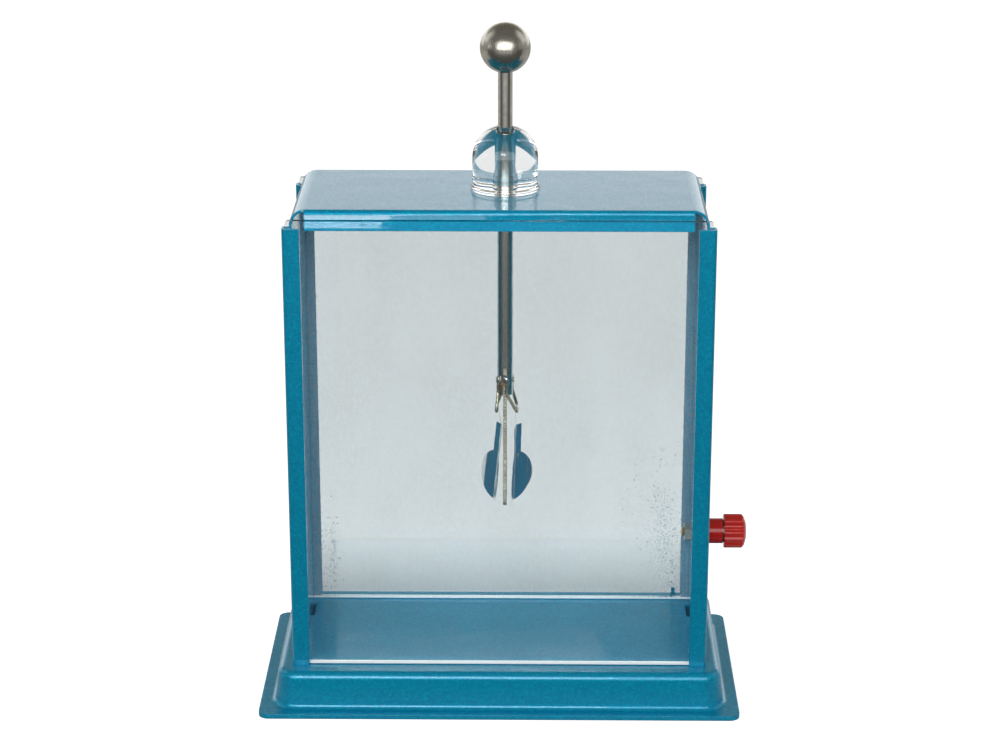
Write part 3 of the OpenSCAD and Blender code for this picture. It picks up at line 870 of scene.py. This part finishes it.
def solderBead(name, centre, bead):
    # a teardrop that thins downwards, as solder runs down a wire
    shape = solderShape
    squeeze, wobble = bead.get("squeeze", 1.0), bead.get("wobble", shape["wobble"])
    made = bmesh.new()
    rings = []
    for r in range(shape["rings"] + 1):
        t = r / shape["rings"]
        inside = min(max(t, shape["blunt"]), 1 - shape["blunt"])
        belly = math.sin(math.pi * inside ** shape["rise"]) ** shape["fullness"]
        height = centre.z + bead["length"] * (shape["above"] - t)
        ring = []
        for k in range(shape["sides"]):
            turn = 2 * math.pi * k / shape["sides"]
            spot = Vector((math.cos(turn), math.sin(turn), t * shape["lumpStretch"] + bead["seed"]))
            lump = wobble * noise.noise(spot * shape["lumpScale"])
            out = bead["radius"] * belly * (1 + lump)
            ring.append((centre.x + out * math.cos(turn) * squeeze,
                         centre.y + out * math.sin(turn), height))
        rings.append(ring)
    skinRows(made, rings, wrapRow=True, caps=True)
    addPiece(name, made, bead.get("finish", "solder"), "case")


def solderedStirrups():
    axis, rodFoot = middleOf("electrode_rod"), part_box("electrode_rod")[0].z
    for side in ("left", "right"):
        for label, leg in wireStirrup(side).items():
            inward = (Vector((axis.x, axis.y, 0)) - leg) * legBeads["inward"]
            centre = leg + inward + Vector((0, 0, rodFoot + legBeads["height"]))
            solderBead(side + "_solder_" + label, centre, legBeads[side][label])
    for name, bead in slotBeads.items():
        x, y, z = bead["place"]
        solderBead(name, Vector((axis.x + x, axis.y + y, rodFoot + z)), bead)


solderedStirrups()
print("stirrups bent and soldered")


# Fixed vane with its file-cut edge

vaneShape = {
    "discRadius": 0.010,
    "stemWidth": 0.0052,
    "cut": 0.0011,  # from groove to groove
    "cutDepth": 0.00036,
    "cutSharpness": 1.6,
    "edgeRound": 0.0001,
    "discSteps": 150,
    "walkStep": 0.00014,
}


def fixedVane():
    shape = vaneShape
    low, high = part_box("fixed_vane")
    centreY = (low.y + high.y) / 2
    radius, halfStem = shape["discRadius"], shape["stemWidth"] / 2
    discZ = low.z + radius
    meet = math.asin(halfStem / radius)
    corners = [(halfStem, high.z), (halfStem, discZ + radius * math.cos(meet))]
    for i in range(1, shape["discSteps"] + 1):
        turn = meet + (2 * math.pi - 2 * meet) * i / shape["discSteps"]
        corners.append((radius * math.sin(turn), discZ + radius * math.cos(turn)))
    corners.append((-halfStem, high.z))
    # walk the outline in even steps and cut the grooves
    outline, walked = [], 0.0
    for a, b in zip(corners, corners[1:]):
        run = math.dist(a, b)
        count = max(1, round(run / shape["walkStep"]))
        normal = ((b[1] - a[1]) / run, -(b[0] - a[0]) / run)
        for i in range(count):
            t = i / count
            groove = 0.5 - 0.5 * math.cos(2 * math.pi * (walked + run * t) / shape["cut"])
            depth = shape["cutDepth"] * groove ** shape["cutSharpness"]
            outline.append((a[0] + (b[0] - a[0]) * t + normal[0] * depth,
                            a[1] + (b[1] - a[1]) * t + normal[1] * depth, normal))
        walked += run
    outline.append((*corners[-1], (0, -1)))
    made = bmesh.new()
    rings = []
    edge = shape["edgeRound"]
    for x, inset in ((low.x, edge), (low.x + edge, 0), (high.x - edge, 0), (high.x, edge)):
        rings.append([(x, centreY + y + n[0] * inset, z + n[1] * inset) for y, z, n in outline])
    skinRows(made, rings, wrapRow=True, caps=True)
    addPiece("ribbed_vane", made, "vane", "case", "fixed_vane", smooth=False)


fixedVane()


# Threaded stud of the terminal

threadShape = {
    "pitch": 0.0007,
    "depth": 0.00036,
    "runOut": 0.0008,  # stretch at each end over which the thread fades
    "perTurn": 28,
    "perPitch": 10,
}


def threadedStud():
    shape = threadShape
    low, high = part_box("terminal_stud")
    axis = middleOf("terminal_stud")
    radius = (high.y - low.y) / 2
    count = round((high.x - low.x) / shape["pitch"] * shape["perPitch"])
    rings = []
    for i in range(count + 1):
        x = low.x + (high.x - low.x) * i / count
        fade = min(1.0, (x - low.x) / shape["runOut"], (high.x - x) / shape["runOut"])
        ring = []
        for k in range(shape["perTurn"]):
            turn = k / shape["perTurn"]
            wave = abs(((x - low.x) / shape["pitch"] - turn) % 1.0 - 0.5) * 2
            reach = radius - shape["depth"] * (wave if fade >= 1 else max(wave, 1 - fade))
            angle = 2 * math.pi * turn
            ring.append((x, axis.y + reach * math.cos(angle), axis.z + reach * math.sin(angle)))
        rings.append(ring)
    made = bmesh.new()
    skinRows(made, rings, wrapRow=True, caps=True)
    addPiece("threaded_stud", made, "brass", "case", "terminal_stud", smooth=False)


threadedStud()
print("vane and stud cut")


# Fine drops of enamel that the spray left on the rear pane

dropShape = {
    "smallest": 0.00013,
    "largest": 0.00026,
    "rarity": 4,  # the higher, the fewer drops are large
    "height": 0.00005,
    "profile": ((0.0, 1.0), (0.6, 0.85), (1.0, 0.45)),  # shares of the height and of the size
    "sides": 8,
    "sideLimit": 0.0755,
    "footGap": 0.001,
    "seed": 7,
    # each cloud: middle x and z, spread in x and z, how many drops, and their scale
    "clouds": ((-0.0688, 0.036, 0.0014, 0.010, 170, 1.0), (-0.0735, 0.030, 0.0010, 0.012, 30, 1.0),
               (0.0650, 0.048, 0.0062, 0.021, 240, 1.0), (0.0700, 0.030, 0.0020, 0.011, 150, 1.0),
               (0.0705, 0.0200, 0.0003, 0.0008, 9, 3.6)),
}


def overspray():
    shape = dropShape
    dice = random.Random(shape["seed"])
    limit, span = shape["sideLimit"], shape["largest"] - shape["smallest"]
    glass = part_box("rear_glass")[0]
    turns = [2 * math.pi * k / shape["sides"] for k in range(shape["sides"])]
    made = bmesh.new()
    for middleX, middleZ, spreadX, spreadZ, count, scale in shape["clouds"]:
        for i in range(count):
            x = min(max(dice.gauss(middleX, spreadX), -limit), limit)
            z = max(dice.gauss(middleZ, spreadZ), glass.z + shape["footGap"])
            size = (shape["smallest"] + span * dice.random() ** shape["rarity"]) * scale
            rings = []
            for level, reach in shape["profile"]:
                y, out = glass.y - shape["height"] * level, size * reach
                rings.append([(x + out * math.cos(turn), y, z + out * math.sin(turn))
                              for turn in turns])
            skinRows(made, rings, wrapRow=True, caps=True)
    addPiece("enamel_drops", made, "enamel", "rear_pane")


overspray()
print("enamel drops on the rear pane")


# Camera

cameraView = {
    "place": (0.01047, -0.96366, 0.45027),
    "pitch": 71.307,
    "turn": 0.626,
    "lens": 94.24,
    "sensor": 36,
    "clip": (0.05, 30),
}
camera = bpy.data.objects.new("camera", bpy.data.cameras.new("camera"))
bpy.context.scene.collection.objects.link(camera)
camera.data.lens = cameraView["lens"]
camera.data.sensor_width = cameraView["sensor"]
camera.data.clip_start, camera.data.clip_end = cameraView["clip"]
camera.location = cameraView["place"]
camera.rotation_euler = (math.radians(cameraView["pitch"]), 0, math.radians(cameraView["turn"]))
bpy.context.scene.camera = camera
print("camera placed")


# Studio

floorLook = {
    "size": 8.0,
    "below": 0.0001,
    "colour": (0.80, 0.795, 0.785),
    "cameraLift": 0.80,  # light added for rays that look at the background
    "clearLift": 0.55,  # the same, seen through glass
    "glossLift": 0.12,  # the same, mirrored behind the object
    "paintedShadowSpan": (0.064, 0.148),  # from the middle, where the clear lift starts and is full; nearer the object the floor stays darker, a painted shadow of the object
    "backStart": (-0.09, 0.0),  # along Y, where the floor behind the object starts
    "frontDark": 0.14,  # grey of the table in front of the object, where it is mirrored
    "frontFar": 0.44,  # the same, further off
    "farStart": (-0.88, -0.81),
}


def floorMaterial():
    look = floorLook
    material, tree, shader = startMaterial("pale_floor")
    tree.nodes.remove(shader)
    path = put(tree, "LightPath").outputs
    spot = spotOf(tree)
    back = ramp(tree, spot["Y"], *look["backStart"])
    # straight through the glass, the floor is bright on both sides of the object, and darker close
    # to it as a painted shadow of the object
    # painted shadow: the lift fades to nothing near the object
    liftPastPaintedShadow = ramp(tree, maths(tree, "ABSOLUTE", spot["Y"]), *look["paintedShadowSpan"], 0.0,
                  look["clearLift"])
    unmirrored = maths(tree, "LESS_THAN", path["Glossy Depth"], 0.5)
    through = maths(tree, "MULTIPLY", path["Is Transmission Ray"], unmirrored)
    clear = maths(tree, "MULTIPLY", path["Is Transmission Ray"], liftPastPaintedShadow)
    mirrored = maths(tree, "MULTIPLY", path["Is Glossy Ray"], look["glossLift"])
    lifted = maths(tree, "MULTIPLY", maths(tree, "MAXIMUM", clear, mirrored), back)
    lifted = maths(tree, "MAXIMUM", lifted, maths(tree, "MULTIPLY", through, liftPastPaintedShadow))
    seen = maths(tree, "MULTIPLY", path["Is Camera Ray"], look["cameraLift"])
    lifted = maths(tree, "MAXIMUM", seen, lifted)
    # mirrored in the enamel and metal, the table in front is dark
    looked = maths(tree, "MAXIMUM", path["Is Camera Ray"], through)
    front = maths(tree, "MULTIPLY", maths(tree, "SUBTRACT", 1.0, looked),
                  maths(tree, "SUBTRACT", 1.0, back))
    far = ramp(tree, spot["Y"], *look["farStart"], 1.0, 0.0)
    grey = mixColours(tree, far, (look["frontDark"],) * 3, (look["frontFar"],) * 3)
    colour = mixColours(tree, front, look["colour"], grey)
    diffuse = put(tree, "BsdfDiffuse", {"Color": colour})
    lift = put(tree, "Emission", {"Strength": lifted})
    total = put(tree, "AddShader", {0: diffuse.outputs[0], 1: lift.outputs[0]})
    tree.links.new(total.outputs[0], tree.nodes["Material Output"].inputs["Surface"])
    return material


def paleFloor():
    half = floorLook["size"] / 2
    made = bmesh.new()
    made.faces.new([made.verts.new((x * half, y * half, -floorLook["below"]))
                    for x, y in ((-1, -1), (1, -1), (1, 1), (-1, 1))])
    mesh = bpy.data.meshes.new("floor")
    made.to_mesh(mesh)
    made.free()
    mesh.materials.append(floorMaterial())
    floor = bpy.data.objects.new("floor", mesh)
    bpy.context.scene.collection.objects.link(floor)


# each lamp: size, distance from the rig's centre, elevation, turn from the front, brightness
lampRig = {
    "window": {"size": (2.1, 0.80), "away": 1.5, "up": 22, "round": -2, "level": 2.85},
    "key": {"size": (0.46, 0.22), "away": 1.48, "up": 26, "round": -6, "level": 8.6},
    "leftPane": {"size": (0.09, 0.22), "away": 1.5, "up": 12, "round": -76, "level": 3.0},
    "leftPanel": {"size": (0.8, 1.0), "away": 1.6, "up": 35, "round": -112, "level": 0.6},
    "rightPanel": {"size": (0.8, 1.0), "away": 1.6, "up": 35, "round": 108, "level": 0.6},
}
rigCentre = Vector((0, 0, 0.13))


def softLamp(name, lamp):
    data = bpy.data.lights.new(name, "AREA")
    data.shape = "RECTANGLE"
    data.size, data.size_y = lamp["size"]
    data.energy = lamp["level"] * math.pi * data.size * data.size_y
    made = bpy.data.objects.new(name, data)
    bpy.context.scene.collection.objects.link(made)
    up, turn = math.radians(lamp["up"]), math.radians(lamp["round"])
    out = Vector((math.sin(turn) * math.cos(up), -math.cos(turn) * math.cos(up), math.sin(up)))
    made.location = rigCentre + out * lamp["away"]
    made.rotation_euler = (-out).to_track_quat("-Z", "Y").to_euler()


skyLook = {
    "ceiling": (0.17, 0.165, 0.155),
    "backdrop": (1.36, 1.36, 1.37),
    "backdropTop": (0.22, 0.42),  # sine of the elevation where the backdrop starts and ends to fade
    "wall": (0.26, 0.245, 0.17),  # warm wall above the backdrop
    "wallTop": (0.50, 0.78),
    "behind": (0.35, 0.80),  # along Y, where backdrop and wall start and are full
    "sides": (0.42, 0.42, 0.41),
    "sidesTop": (0.25, 0.60),
    "sidesStart": (-0.6, -0.1),
    "seen": (1.0, 1.0, 1.0),  # plain white for the camera
}


def studioWorld():
    look = skyLook
    world = bpy.data.worlds.new("studio")
    bpy.context.scene.world = world
    world.use_nodes = True
    tree = world.node_tree
    way = spotOf(tree, "Generated")
    behind = ramp(tree, way["Y"], *look["behind"], smooth=True)
    low = ramp(tree, way["Z"], *look["backdropTop"], 1.0, 0.0, smooth=True)
    middle = ramp(tree, way["Z"], *look["wallTop"], 1.0, 0.0, smooth=True)
    around = ramp(tree, way["Y"], *look["sidesStart"], smooth=True)
    lowSides = ramp(tree, way["Z"], *look["sidesTop"], 1.0, 0.0, smooth=True)
    colour = look["ceiling"]
    for first, second, paint in ((around, lowSides, "sides"), (behind, middle, "wall"),
                                 (behind, low, "backdrop")):
        colour = mixColours(tree, maths(tree, "MULTIPLY", first, second), colour, look[paint])
    seen = put(tree, "LightPath").outputs["Is Camera Ray"]
    colour = mixColours(tree, seen, colour, look["seen"])
    setInputs(tree, tree.nodes["Background"], {"Color": colour, "Strength": 1.0})


paleFloor()
for name, lamp in lampRig.items():
    softLamp(name, lamp)
studioWorld()
bpy.context.scene.view_settings.view_transform = "Standard"
print("studio:", len(lampRig), "soft lamps")
